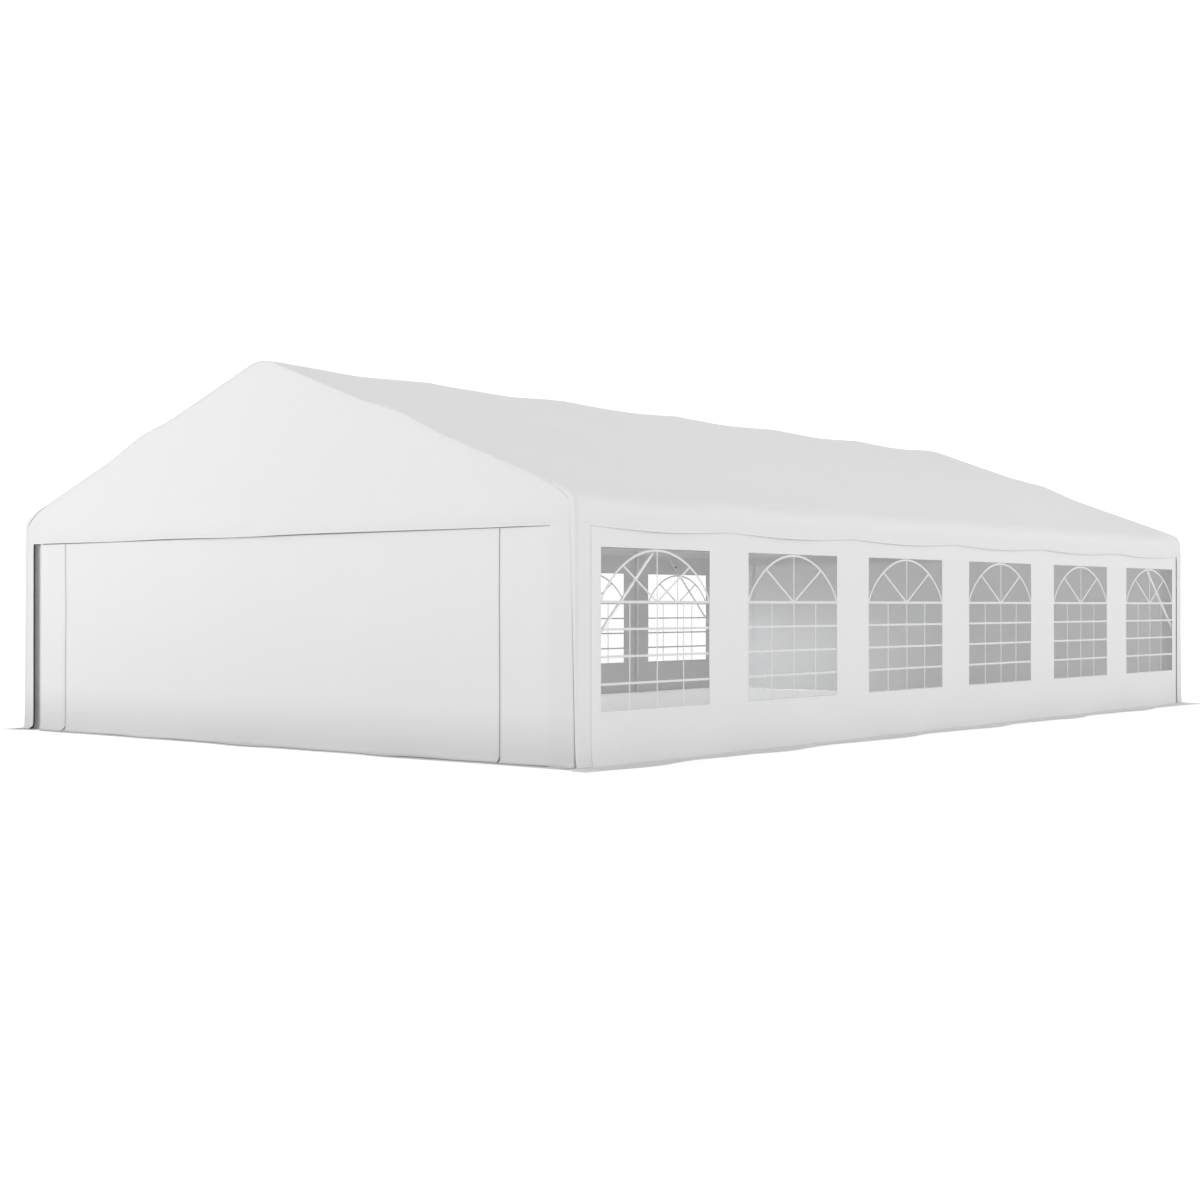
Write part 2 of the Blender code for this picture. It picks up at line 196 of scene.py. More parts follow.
def start_material(name):
    """A new material, the start of its expressions, and its Principled shader."""
    material = bpy.data.materials.new(name)
    material.use_nodes = True
    return material, Shade(material.node_tree), material.node_tree.nodes["Principled BSDF"]


def galvanised_steel(name):
    """Hot-dip zinc: pale crystals a centimetre wide that differ in tone and gloss, and dull streaks."""
    material, shade, shader = start_material(name)
    place = shade.place()
    crystals = shade.node("TexVoronoi", {"Vector": place, "Scale": 90.0}, "Color")
    tone = shade.node("SeparateColor", {0: crystals})
    share = 0.6 * tone + 0.4 * place.stretched(9.0, 9.0, 2.0).noise(3.0)
    looks = {
        "Base Color": share.blended(STEEL_DARK, STEEL_LIGHT),
        "Roughness": 0.34 + 0.18 * share,
        "Metallic": 0.15,
        "Normal": tone.bumped(0.0002, 0.3),
    }
    set_inputs(shader, looks)
    return material


def squares(index):
    """The corners of the squares between the rows and columns of a grid of vertex numbers."""
    corners = [index[:-1, :-1], index[:-1, 1:], index[1:, 1:], index[1:, :-1]]
    return np.stack(corners, -1).reshape(-1, 4)


def ring_faces(count, sides):
    """The faces of a closed skin over count rings of points, with a cap at both ends."""
    index = np.arange(count * sides).reshape(count, sides)
    return [squares(np.hstack([index, index[:, :1]])), index[:1, ::-1], index[-1:]]


def directions(line):
    """The unit vectors along a line, at each of its points."""
    step = np.gradient(line, axis=0)
    return step / np.linalg.norm(step, axis=1)[:, None]


def tube(path, side, radius, sides=24):
    """A round tube along a path, as (vertices, faces).

    At each point the ring is radius times (cosine of the angle times n, plus sine times side), where side
    is square to the path and n is side crossed with the path's direction. Both ends are closed.
    """
    path = np.asarray(path, float)
    out = np.cross(side, directions(path))
    angles = np.linspace(0.0, TURN, sides, endpoint=False)
    ring = np.cos(angles)[:, None] * out[:, None] + np.sin(angles)[:, None] * np.asarray(side)
    vertices = path[:, None] + radius * ring
    return vertices.reshape(-1, 3), ring_faces(len(path), sides)


def straight_tube(start, end, radius, sides=24):
    """A straight tube from start to end."""
    start, end = np.array(start, float), np.array(end, float)
    along = (end - start) / np.linalg.norm(end - start)
    side = np.cross(along, (1.0, 0.0, 0.0) if abs(along[0]) < 0.9 else (0.0, 0.0, 1.0))
    return tube([start, end], side / np.linalg.norm(side), radius, sides)


def block(low, high):
    """A block between two corners, as (vertices, faces)."""
    (x0, y0, z0), (x1, y1, z1) = low, high
    corners = np.array([(x, y, z) for x in (x0, x1) for y in (y0, y1) for z in (z0, z1)])
    faces = np.array([(0, 1, 3, 2), (4, 6, 7, 5), (0, 4, 5, 1), (2, 3, 7, 6), (0, 2, 6, 4), (1, 5, 7, 3)])
    return corners, [faces]


def add_piece(name, shapes, material, nodes=(), flat=None):
    """One object that joins several shapes, rides on the tent and stands for CAD nodes.

    flat is one pair of lengths for each vertex, in metres: its place on the cloth before it was hung.
    """
    start = 0
    faces = []
    for vertices, groups in shapes:
        for group in groups:
            faces += (group + start).tolist()
        start += len(vertices)
    mesh = bpy.data.meshes.new(name)
    mesh.from_pydata(np.vstack([vertices for vertices, _ in shapes]), [], faces)
    if flat is not None:
        corners = np.empty(len(mesh.loops), np.int32)
        mesh.loops.foreach_get("vertex_index", corners)
        layer = mesh.uv_layers.new(name="cloth")
        layer.data.foreach_set("uv", np.asarray(flat, np.float32)[corners].ravel())
    mesh.shade_smooth()
    mesh.set_sharp_from_angle(angle=math.radians(35.0))
    mesh.materials.append(material)
    piece = put(name, mesh)
    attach(piece, "root")
    if nodes:
        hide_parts(*nodes)
    return piece


def bends(away, steps):
    """The right eave's bend and half the ridge's as (x, z), away metres outside a portal's middle line."""
    eave = np.linspace(0.0, EAVE_TURN, 14)[:, None]
    ridge = np.linspace(EAVE_TURN, math.pi / 2, steps)[:, None]
    low = EAVE_CENTRE + (EAVE_BEND + away) * np.hstack([np.cos(eave), np.sin(eave)])
    return low, RIDGE_CENTRE + (RIDGE_BEND + away) * np.hstack([np.cos(ridge), np.sin(ridge)])


def whole_line(half):
    """A line of (x, z) from the right to the ridge, with its mirror image after it."""
    return np.vstack([half, half[-2::-1] * (-1.0, 1.0)])


def bolt(place, direction):
    """A hexagon head with a washer under it, standing out from a place."""
    place, direction = np.array(place, float), np.array(direction, float)
    washer = straight_tube(place, place + WASHER_HEIGHT * direction, WASHER, 16)
    return [washer, straight_tube(place, place + BOLT_HEIGHT * direction, BOLT_HEAD, 6)]


def rafter_height(x):
    """The height of a rafter's centre line, x metres from the ridge."""
    return CORNER_Z + (LEG_X - x) * math.tan(PITCH)


SAG = 0.028
RIDGE_PURLIN = (0.0, RIDGE_CENTRE[1] + RIDGE_BEND - SAG)
EAVE_PURLIN = (
    EAVE_CENTRE[0] + EAVE_BEND * math.cos(EAVE_TURN / 2),
    EAVE_CENTRE[1] + EAVE_BEND * math.sin(EAVE_TURN / 2) - SAG,
)

steel = galvanised_steel("galvanised_tube")
across = (0.0, 1.0, 0.0)
upwards = (0.0, 0.0, 1.0)
slope = (-math.cos(PITCH), 0.0, math.sin(PITCH))
portal_line = whole_line(np.vstack([[(LEG_X, PLATE_THICKNESS / 2)], *bends(0.0, 14)]))
for number, y in enumerate(PORTAL_PLACES, 1):
    inward = {1: 1, len(PORTAL_PLACES): -1}.get(number, 0)
    shapes = [tube(np.insert(portal_line, 1, y, axis=1), across, TUBE)]
    sleeve_y = y + inward * (SLEEVE_LENGTH / 2 - TUBE)
    for x, z in (RIDGE_PURLIN, EAVE_PURLIN, (-EAVE_PURLIN[0], EAVE_PURLIN[1])):
        ends = [(x, sleeve_y + share * SLEEVE_LENGTH, z) for share in (-0.5, 0.5)]
        shapes.append(straight_tube(*ends, SLEEVE))
    for side in (-1, 1):
        turn = np.array([side, 1.0, 1.0])
        collars = [((LEG_X, y, LEG_COLLAR), upwards)]
        collars += [((x, y, rafter_height(x)), slope) for x in RAFTER_COLLARS]
        for place, along in collars:
            arm = 0.5 * COLLAR_LENGTH * np.array(along)
            shapes.append(straight_tube((place - arm) * turn, (place + arm) * turn, COLLAR))
            for step in (-COLLAR_BOLT, COLLAR_BOLT):
                shapes += bolt((place + step * np.array(along) + (0.0, COLLAR, 0.0)) * turn, across)
        plate_y = y + inward * (PLATE_WIDTH / 2 - TUBE)
        plate = np.array([side * (LEG_X + TUBE - PLATE_WIDTH / 2), plate_y, PLATE_THICKNESS / 2])
        shapes.append(block(plate - PLATE / 2, plate + PLATE / 2))
        for step in (-PEG_OUT, PEG_OUT):
            peg = plate + (side * (PEG_IN - PLATE_WIDTH / 2), step, PLATE_THICKNESS / 2)
            top = peg + (0.0, 0.0, PEG_HEIGHT)
            shapes.append(straight_tube(peg, top, PEG, 12))
            shapes.append(straight_tube(top, top + (0.0, 0.0, PEG_CAP), PEG_HEAD, 12))
    add_piece(f"portal_{number}", shapes, steel, [f"portal_frame_{number}"])


# The purlins: round tubes the whole length of the tent, at the ridge and the eaves pushed through the
# portals' sleeves and held by bolts, and halfway up each slope laid over the rafters.
SEAT_X = 1.71
SEAT_RISE = 2 * TUBE + 0.0003
PURLIN_REACH = LEG_Y + TUBE
SLEEVE_BOLT = 0.035

seat_x = SEAT_X + SEAT_RISE * math.sin(PITCH)
seat_z = rafter_height(SEAT_X) + SEAT_RISE * math.cos(PITCH)
for name, x, z, bolted in (
    ("ridge_purlin", *RIDGE_PURLIN, INNER_PLACES),
    ("eave_purlin_right", *EAVE_PURLIN, INNER_PLACES),
    ("eave_purlin_left", -EAVE_PURLIN[0], EAVE_PURLIN[1], INNER_PLACES),
    ("middle_purlin_right", seat_x, seat_z, ()),
    ("middle_purlin_left", -seat_x, seat_z, ()),
):
    shapes = [straight_tube((x, -PURLIN_REACH, z), (x, PURLIN_REACH, z), TUBE)]
    for y in bolted:
        shapes += bolt((x, y - SLEEVE_BOLT, z - SLEEVE), (0.0, 0.0, -1.0))
    add_piece(name + "_tube", shapes, steel, [name])


# The four corner braces: telescopic steel tubes from the corner legs up to the eave purlins, with a clamp
# and a hand knob where the thin tube slides out of the wide one, and a bolt at each end.
ENDS = (("front", -1), ("rear", 1))
SIDES = (("right", 1), ("left", -1))
BRACE_LOW = 0.77
BRACE_RUN = 1.37
BRACE_OUTER = 0.0125
BRACE_INNER = 0.010
BRACE_SHARE = 0.82
BRACE_CLAMP = 0.0145
BRACE_OVERLAP = 0.02
STEM = 0.005
STEM_LENGTH = 0.014
GRIP = 0.014
KNOB_BLACK = (0.02, 0.02, 0.022, 1.0)

knob_plastic, _, knob_shader = start_material("knob_plastic")
set_inputs(knob_shader, {"Base Color": KNOB_BLACK, "Roughness": 0.45})
for end_name, end in ENDS:
    for side_name, side in SIDES[::-1]:
        low = np.array([side * LEG_X, end * LEG_Y, BRACE_LOW])
        high = np.array([side * EAVE_PURLIN[0], end * (LEG_Y - BRACE_RUN), EAVE_PURLIN[1]])
        run = (high - low) / np.linalg.norm(high - low)
        step = low + BRACE_SHARE * (high - low)
        shapes = [
            straight_tube(low + TUBE * run, step, BRACE_OUTER),
            straight_tube(step - BRACE_OVERLAP * run, high - TUBE * run, BRACE_INNER),
            straight_tube(step - 0.03 * run, step + 0.004 * run, BRACE_CLAMP),
        ]
        inwards = np.array([-side, 0.0, 0.0])
        shapes += bolt(low + TUBE * inwards, inwards)
        shapes += bolt(high + TUBE * inwards - (0.0, 0.0, 0.004), inwards)
        name = f"brace_{end_name}_{side_name}"
        add_piece(name + "_tube", shapes, steel, [name])
        start = step - 0.014 * run + BRACE_OUTER * inwards
        stem = straight_tube(start, start + STEM_LENGTH * inwards, STEM, 16)
        grip = straight_tube(start + 0.012 * inwards, start + 0.026 * inwards, GRIP, 10)
        add_piece(name + "_knob", [stem, grip], knob_plastic)


# The roof cover: one sheet of white coated polyethylene cloth over the portals, tented over the middle
# purlins, with a valance down each long side. At the corners it runs on down over the legs, and round
# both ends it is turned down over the end portal with a narrow lap.
WALL_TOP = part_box("side_wall_right")[1].z
HEM_HEIGHT = 1.855
SEAT_SPREAD = 0.45
CORNER_STRIP = 0.16
STRIP_FOOT = 0.016
CLOTH = 0.0012
COVER_Y = -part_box("roof_cover")[0].y
FACE_Y = COVER_Y + 0.003
STRIP_EDGE = COVER_Y - CORNER_STRIP
HELD = np.array([CORNER_STRIP - END_Y, *INNER_PLACES, END_Y - CORNER_STRIP])
STRIP_MIDDLE = 5.93
STRIP_STEPS = 24
VALANCE_STEPS = 8
BAY_STEPS = 22
EAVE_HOLLOW = 3.22
HOLLOW_DEPTH = 0.012
EDGE_ROUND = 0.03
FOOT_HEIGHT = 0.3
FOOT_LEAN = 0.012
FOOT_WANDER = 0.006
VALANCE_SWING = 0.005
UNEVEN = 0.0022
CURL = 0.004
LAP_FOOT = 0.015
LAP_EAVE = 0.066
LAP_RAKE = 0.008
LAP_FADE = 0.25
LAP_SPRING = 0.0035
WEAVE = 0.0032
STITCH = 0.007
# A grey for grime on the cloth and marks on the print, and also for the painted shade at the cloth's foot.
SOIL_AND_SHADE = (0.36, 0.355, 0.345, 1.0)
THROUGH = (0.93, 0.93, 0.94, 1.0)
CLOTH_WHITE = (0.82, 0.82, 0.825, 1.0)
CLOTH_SHARE = 0.23
HEM_SEAMS = (0.022, 0.026)


def cloth_finish(name, colour, foot_shade, share, seams):
    """White coated woven cloth: a fine weave, long soft creases, a little grime, stitched seams and hems,
    and painted shade that darkens it towards the foot.

    share is how much of the light goes through. foot_shade is how dark the painted shade at the foot gets.
    seams are places across the cloth's second flat coordinate, in metres, where a row of stitches runs.
    """
    material, shade, shader = start_material(name)
    place, flat = shade.place(), shade.place("UV")
    warp, weft, height = flat.axis("X"), flat.axis("Y"), place.axis("Z")
    turns = TURN / WEAVE
    weave = (turns * warp).maths("SINE") * (turns * weft).maths("SINE")
    threads = flat.stretched(900.0, 14.0, 1.0).noise(1.0)
    cross = flat.stretched(14.0, 900.0, 1.0).noise(1.0)
    cloud = place.noise(0.7, 3.0)
    # foot is painted shade: darkest at the ground, fading out by about 1.9 metres up, unevenly.
    foot = (1 - 0.75 * height.rise(0.0, 0.5) - 0.25 * height.rise(0.2, 1.9)) * (0.75 + 0.5 * cloud)
    tint = foot_shade * foot + 0.05 * (1 - cloud) + 0.035 * threads + 0.035 * cross
    for seam in seams:
        dash = (warp * (TURN / STITCH)).maths("SINE").rise(-0.5, 0.1)
        tint = tint + 0.25 * (1 - (weft - seam).maths("ABSOLUTE").rise(0.0006, 0.0014)) * dash
    creases = {
        "Height": place.noise(2.2, 4.0),
        "Distance": 0.012,
        "Strength": 0.14,
        "Normal": weave.bumped(0.00012, 0.35),
    }
    looks = {
        "Base Color": tint.blended(colour, SOIL_AND_SHADE),
        "Roughness": 0.50 + 0.12 * cloud + 0.05 * threads,
        "Specular IOR Level": 0.35,
        "Normal": shade.node("Bump", creases),
    }
    set_inputs(shader, looks)
    through = shade.node("BsdfTranslucent", {"Color": THROUGH})
    coated = Shade(shade.tree, shader.outputs[0])
    mixed = shade.node("MixShader", {0: share, 1: coated, 2: through})
    set_inputs(shade.tree.nodes["Material Output"], {"Surface": mixed})
    return material


# Each cloth's third number is how strong the painted shade at its foot is.
cover_cloth = cloth_finish("cover_cloth", CLOTH_WHITE, 0.06, CLOTH_SHARE, HEM_SEAMS)


def add_cloth(name, points, flat, material, nodes=(), thickness=CLOTH, keep=None):
    """A hung sheet: a grid of points given its thickness behind the face that looks outwards.

    The face looks along the second axis's direction crossed with the first's. keep says for each of the
    grid's squares whether it is there, so that openings are left out. Free edges, which belong to one
    square only, are marked sharp, so that the shading doesn't bend round them.
    """
    rows, columns = points.shape[:2]
    quads = squares(np.arange(rows * columns).reshape(rows, columns))
    vertices, places = points.reshape(-1, 3), flat.reshape(-1, 2)
    if keep is not None:
        quads = quads[keep.ravel()]
        used, quads = np.unique(quads, return_inverse=True)
        vertices, places, quads = vertices[used], places[used], quads.reshape(-1, 4)
    piece = add_piece(name, [(vertices, [quads])], material, nodes, places)
    mesh = piece.data
    edges = np.empty(len(mesh.loops), np.int32)
    mesh.loops.foreach_get("edge_index", edges)
    sharp = np.empty(len(mesh.edges), bool)
    mesh.edges.foreach_get("use_edge_sharp", sharp)
    sharp |= np.bincount(edges, minlength=len(mesh.edges)) == 1
    mesh.edges.foreach_set("use_edge_sharp", sharp)
    solid = piece.modifiers.new("thickness", "SOLIDIFY")
    solid.thickness = thickness
    solid.offset = -1.0
    solid.use_even_offset = True
    return piece


def lengths(line):
    """How far along a line each of its points lies."""
    return np.hstack([[0.0], np.cumsum(np.linalg.norm(np.diff(line, axis=0), axis=1))])


def outward(line):
    """The unit vectors square to a line in a plane, on its right: outside one that runs anticlockwise."""
    return directions(line)[:, ::-1] * (1.0, -1.0)


def clamp(value):
    """A value held between 0 and 1."""
    return np.clip(value, 0.0, 1.0)


def smooth(share):
    """A smooth step from 0 to 1."""
    share = clamp(share)
    return share * share * (3 - 2 * share)


def bump(place, middle, width):
    """A bell-shaped bump, 1 high and so many metres wide to each side of its middle."""
    return np.exp(-(((place - middle) / width) ** 2))


def ripple(seed, size, first, second=0.0, count=7):
    """A soft unevenness, mostly from -1 to 1, in one or two coordinates.

    It is the sum of count waves over the square root of count. Each is the sine of its phase plus the place
    times its direction over its length. Directions, lengths of 0.6 to 1.8 times size, and phases are drawn
    from the seed.
    """
    random = np.random.default_rng(seed)
    turns = random.uniform(0, math.pi, count)
    wave_lengths = random.uniform(0.6, 1.8, count) * size
    phases = random.uniform(0, 7, count)
    total = 0.0
    for turn, length, phase in zip(turns, wave_lengths, phases):
        way = first * math.cos(turn) + second * math.sin(turn)
        total = total + np.sin(phase + TURN * way / length)
    return total / math.sqrt(count)


def cover_half_line():
    """The cloth's outer line at a portal, from the foot of the eave's bend to the ridge, as (x, z).

    An arc round the eave bend, the rafter's straight line, and half an arc round the ridge bend, each
    TUBE_DEPTH outside the tube's centre line. Over a middle purlin the line rises by SEAT_RISE, as a tent
    whose sides are SEAT_SPREAD long and whose top and feet are rounded.
    """
    bend, top = bends(TUBE_DEPTH, 9)
    share = np.linspace(0.0, 1.0, 50)[1:-1, None]
    line = np.vstack([bend, bend[-1] + share * (top[0] - bend[-1]), top])
    away = np.sqrt(((line[:, 0] - SEAT_X) / SEAT_SPREAD) ** 2 + 0.06**2)
    tent = 0.5 * (1 - away + np.sqrt((1 - away) ** 2 + 0.02)) - 0.01
    ends = clamp((line[:, 0] - 0.3) / 0.5) * clamp((3.3 - line[:, 0]) / 0.5)
    tent = np.maximum(tent / 0.935, 0.0) * ends
    return line + SEAT_RISE * tent[:, None] * np.array([math.sin(PITCH), math.cos(PITCH)])


def bay_sag(y):
    """The sag along a bay, from 0 to 1: a parabola blended with a squared sine, so no edge is sharp."""
    bay = np.clip(np.searchsorted(HELD, y) - 1, 0, len(HELD) - 2)
    share = clamp((y - HELD[bay]) / (HELD[bay + 1] - HELD[bay]))
    return 0.7 * 4 * share * (1 - share) + 0.3 * np.sin(math.pi * share) ** 2


def sag_share(x):
    """The share of the sag across the roof: whole at the ridge and eaves, none on a middle purlin."""
    x = np.abs(x)
    return np.where(x < SEAT_X, 1.0 - x / SEAT_X, np.minimum((x - SEAT_X) / (LEG_X - SEAT_X), 1.0))


def lap_of(line):
    """How far the cover is turned down over the end, at each (x, z) of its line.

    It grows evenly from LAP_FOOT on the ground to LAP_EAVE at the eave's bend, and shrinks from there to
    LAP_RAKE over LAP_FADE of the rafter.
    """
    x, z = np.abs(line[:, 0]), line[:, 1]
    low = LAP_FOOT + (LAP_EAVE - LAP_FOOT) * clamp(z / EAVE_CENTRE[1])
    return LAP_RAKE + (low - LAP_RAKE) * smooth((x - HALF_WIDTH + LAP_FADE) / LAP_FADE)


def foot_lean(y, z):
    """How far the foot of a long side leans out, over its lowest FOOT_HEIGHT."""
    return clamp(1 - z / FOOT_HEIGHT) ** 2.4 * (FOOT_LEAN + FOOT_WANDER * ripple(31, 1.4, y))


def valance_out(y, z):
    """How far the cover's lower parts stand outside the line of the eave.

    Over the wall's top they step out by SKIN. Between the corners the valance's foot swings out a little
    more, in the middle of a bay most.
    """
    step = SKIN * smooth((EAVE_CENTRE[1] - z) / 0.1)
    hang = smooth((EAVE_CENTRE[1] - z) / (EAVE_CENTRE[1] - HEM_HEIGHT))
    free = smooth((HELD[-1] - np.abs(y)) / 0.4)
    swing = 0.003 + 0.002 * ripple(11, 1.3, y) + VALANCE_SWING * bay_sag(y)
    return step + foot_lean(y, z) + hang * free * swing


arch = cover_half_line()
low_z = np.linspace(STRIP_FOOT, HEM_HEIGHT, STRIP_STEPS + 1)[:-1]
valance_z = np.linspace(HEM_HEIGHT, arch[0, 1], VALANCE_STEPS + 1)[:-1]
straight_z = np.hstack([low_z, valance_z])
half = np.vstack([np.column_stack([np.full(len(straight_z), arch[0, 0]), straight_z]), arch])
section = whole_line(half)
inwards = -outward(section)
lap = lap_of(section)
curve = np.minimum(EDGE_ROUND, 0.8 * lap)[:, None]
angles = np.linspace(math.pi / 2, 0.0, 6)
flat_run = np.array([1.0, 1.0, 0.67, 0.33])
inset = np.hstack([curve + (lap[:, None] - curve) * flat_run, curve * (1 - np.cos(angles))])
spring = np.tile([LAP_SPRING, 0.0, 0.0, 0.0], (len(lap), 1))
end_y = -FACE_Y + np.hstack([spring, curve * (1 - np.sin(angles))])
between_strips = np.linspace(HELD[0], HELD[-1], BAYS * BAY_STEPS + 1)[1:-1]
stations = np.hstack([[-STRIP_MIDDLE, -STRIP_EDGE], between_strips, [STRIP_EDGE, STRIP_MIDDLE]])
cover_y = np.hstack([end_y, np.tile(stations, (len(section), 1)), -end_y[:, ::-1]])
inset = np.hstack([inset, np.zeros((len(section), len(stations))), inset[:, ::-1]])
line_x, line_z = section[:, :1], section[:, 1:]
sag = bay_sag(cover_y)
hollow = bump(np.abs(line_x), EAVE_HOLLOW, 0.16) * sag
settle = clamp(sag * 3) * clamp((3.4 - np.abs(line_x)) / 0.3)
from_edge = np.abs(np.abs(cover_y) - STRIP_EDGE)
lift = CURL * clamp(1 - from_edge / 0.03) * (cover_y > 0) * (line_z < HEM_HEIGHT)
cover_x = line_x + np.sign(line_x) * (valance_out(cover_y, line_z) + lift) + inset * inwards[:, :1]
cover_z = line_z - SAG * sag * sag_share(line_x) * smooth((line_z - 1.2) / 0.5) - HOLLOW_DEPTH * hollow
cover_z = cover_z + UNEVEN * settle * ripple(3, 0.9, line_x, cover_y) + inset * inwards[:, 1:]
around = lengths(section) - lengths(half)[STRIP_STEPS]
around = np.minimum(around, around[::-1])
cover_along = cover_y + np.sign(cover_y) * inset
cover_flat = np.stack(np.broadcast_arrays(cover_along, around[:, None]), -1)
mid_z = 0.5 * (section[1:, 1] + section[:-1, 1])
mid_y = 0.5 * (cover_y[:, 1:] + cover_y[:, :-1])[:-1]
cover_keep = (mid_z[:, None] > HEM_HEIGHT) | (np.abs(mid_y) > STRIP_EDGE)
cloth_area = np.diff(lengths(section))[:, None] * np.diff(cover_along, axis=1)[:-1]
corner_nodes = [f"corner_sleeve_{end}_{side}" for end in ("front", "rear") for side in ("left", "right")]
nodes = ["roof_cover"] + corner_nodes
points = np.stack([cover_x, cover_y, cover_z], -1)
cover = add_cloth("roof_cloth", points, cover_flat, cover_cloth, nodes, keep=cover_keep)
float(np.sum(cloth_area * cover_keep))


# The gables: at each end a sheet of the same cloth under the cover's turned edge, with a strip down over
# each corner leg. Its hem hangs free over the door. The strips' edges part from the cover at the foot.
WIDE_STRIP = 0.27
TUCK = 0.008
TUCK_DEPTH = 0.0035
PARTING = 0.007
LOW_PARTING = 0.010
FOOT_PARTING = 0.006
FOOT_ROUND = 0.06
TOE_HEIGHT = 0.045
TOE_LIFT = 0.017
EDGE_CURVE = 0.014
STRIP_ROWS = 41
STRIP_COLUMNS = 14
END_COLUMNS = 121
FLAT_SHIFT = 4.0
GABLE_HANG = 0.012
HEM_DIP = 0.004
EDGE_PRESS = 0.009
STRIP_CURL = 0.003
SPILL = 0.034
BELLY = 0.006

right_start = HALF_WIDTH + SKIN - WIDE_STRIP
left_start = HALF_WIDTH + SKIN - CORNER_STRIP


def rounded(share):
    """A quarter of a circle that rises from 0 to 1 as its share does."""
    return 1 - np.sqrt(1 - clamp(share) ** 2)


def end_out(x, z):
    """How far an end wall stands out from its plane: its foot curves out, and the cloth bellies a little.

    The foot is a quarter of an ellipse, TOE_HEIGHT high. Near the corners the cloth is held flat.
    """
    bumps = bump(x, 1.6, 0.3) + bump(x, -0.23, 0.3)
    spill = np.clip(SPILL + 0.012 * ripple(51, 1.2, x) + 0.04 * bumps, 0.014, 0.08)
    toe = rounded(1 - (z - TOE_LIFT) / TOE_HEIGHT)
    belly = np.sin(math.pi * clamp(z / WALL_TOP)) * (BELLY * ripple(52, 2.2, x, z))
    calm = smooth((right_start - np.abs(x)) / 0.5)
    return toe * spill + 0.004 * clamp(1 - z / 0.25) ** 2 + calm * belly


def turned(mirror, points, *grids):
    """Grids of the front or the right, or their mirror image, run backwards so that it looks out.

    mirror holds the signs of x, y and z.
    """
    if min(mirror) > 0:
        return (points, *grids)
    return tuple(grid[:, ::-1] for grid in (points * mirror, *grids))


# 0.33 is strong painted shade that darkens the doors and panels towards the ground.
end_cloth = cloth_finish("end_cloth", CLOTH_WHITE, 0.33, CLOTH_SHARE, HEM_SEAMS)
border = arch - (lap_of(arch) - TUCK)[:, None] * outward(arch)
strip_z = STRIP_FOOT + np.linspace(0.0, 1.0, STRIP_ROWS)[:, None] ** 1.3 * (HEM_HEIGHT - STRIP_FOOT)
parting = PARTING + LOW_PARTING * clamp(1 - strip_z / 1.6)
parting += FOOT_PARTING * clamp(1 - strip_z / FOOT_HEIGHT)
covered = FACE_Y - END_Y + HALF_WIDTH - LAP_FOOT - (LAP_EAVE - LAP_FOOT) * strip_z / EAVE_CENTRE[1]
strip_end = covered - parting
inner = left_start + FOOT_ROUND * rounded(1 - (strip_z - STRIP_FOOT) / FOOT_ROUND)
spread = np.sin(np.linspace(0.0, math.pi / 2, STRIP_COLUMNS))
low_middle = np.tile(np.linspace(-left_start, right_start, END_COLUMNS)[1:-1], (STRIP_ROWS, 1))
low_left = -(inner + (covered + 0.8 * TUCK - inner) * spread)[:, ::-1]
low_x = np.hstack([low_left, low_middle, right_start + (strip_end - right_start) * spread])
out_to = np.where(low_x[-1] < 0, -low_x[-1, 0], low_x[-1, -1])
out_share = clamp((np.abs(low_x[-1]) - right_start) / (out_to - right_start))
top_x = low_x[-1] + np.sign(low_x[-1]) * (border[0, 0] - out_to) * out_share
top_z = np.interp(np.abs(top_x), border[::-1, 0], border[::-1, 1])
share = np.linspace(0.0, 1.0, 35)[1:, None]
gable_x = np.vstack([low_x, low_x[-1] + share * (top_x - low_x[-1])])
gable_z = np.vstack([np.tile(strip_z, (1, low_x.shape[1])), HEM_HEIGHT + share * (top_z - HEM_HEIGHT)])
outer = np.where(gable_x < 0, -gable_x[:, :1], gable_x[:, -1:])
above = gable_z >= HEM_HEIGHT
between = smooth((right_start - gable_x) / 0.5) * smooth((gable_x + left_start) / 0.5)
free = clamp(1 - (gable_z - HEM_HEIGHT) / 0.5) ** 2 * between * above
hang = 0.004 + GABLE_HANG * bump(gable_x, 0.4, 1.1) + 0.002 * ripple(5, 1.1, gable_x, gable_z)
gable_out = 0.0008 + free * hang
gable_out += 0.0015 * ripple(6, 0.7, gable_x, gable_z) * clamp((top_z - gable_z) / 0.3) * between
tuck_in = clamp(1 - (outer - np.abs(gable_x)) / EDGE_CURVE) ** 2
gable_out -= tuck_in * np.where(gable_x > 0, TUCK_DEPTH, 0.001)
under = clamp(1 - (top_z - gable_z) * math.cos(PITCH) / 0.025)
gable_out -= EDGE_PRESS * under * smooth((np.abs(gable_x) - 3.1) / 0.3) * (1 - tuck_in)
curl = np.vstack([clamp(1 - (-inner - low_x) / EDGE_CURVE) ** 2 * (low_x < 0), 0 * gable_x[STRIP_ROWS:]])
gable_out += STRIP_CURL * curl * ~above + end_out(gable_x, gable_z) * clamp((0.4 - gable_z) / 0.3)
hem_dip = HEM_DIP * ripple(8, 2.2, gable_x) * free
columns = np.arange(low_x.shape[1] - 1)
in_strips = (columns < STRIP_COLUMNS - 1) | (columns >= low_x.shape[1] - STRIP_COLUMNS)
gable_keep = above[:-1, :-1] | in_strips
gable_points = np.stack([gable_x, -COVER_Y - gable_out, gable_z + hem_dip], -1)
gable_flat = np.stack([gable_x + FLAT_SHIFT, gable_z - HEM_HEIGHT], -1)
for end_name, end in ENDS:
    points, flat, keep = turned((1.0, -end, 1.0), gable_points, gable_flat, gable_keep)
    nodes = [f"{end_name}_gable", f"corner_sleeve_{end_name}_left", f"corner_sleeve_{end_name}_right"]
    cloth = add_cloth(f"gable_cloth_{end_name}", points, flat, end_cloth, nodes, keep=keep)
    size = (2 * HALF_WIDTH, float(top_z.max() - HEM_HEIGHT))


